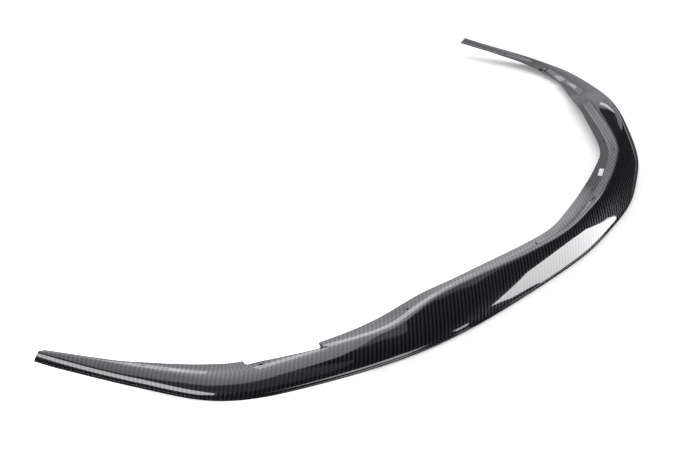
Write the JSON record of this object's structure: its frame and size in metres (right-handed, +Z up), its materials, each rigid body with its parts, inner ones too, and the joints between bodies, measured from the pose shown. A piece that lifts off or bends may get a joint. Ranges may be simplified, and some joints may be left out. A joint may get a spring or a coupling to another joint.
{
  "type": "front bumper lip",
  "caption": "Low front splitter lip that wraps under a car's front bumper: a wide wing-shaped carbon fibre shell with an inner mounting flange, a rolled bottom edge and raised wing tips.",
  "frame": {"origin": "on the ground under the middle of the lip's width and depth", "axes": "+X across the car along the lip, -Y towards the front of the car, +Y back along the wings, +Z up"},
  "size_m": [1.8246, 0.5794, 0.0471],
  "materials": {
    "carbon_fibre": "glossy clear coat over 2x2 twill carbon fibre",
    "label_paper": "matt paper"
  },
  "bodies": {
    "root": {"lip_shell": "carbon_fibre", "paper_label": "label_paper"}
  },
  "joints": []
}
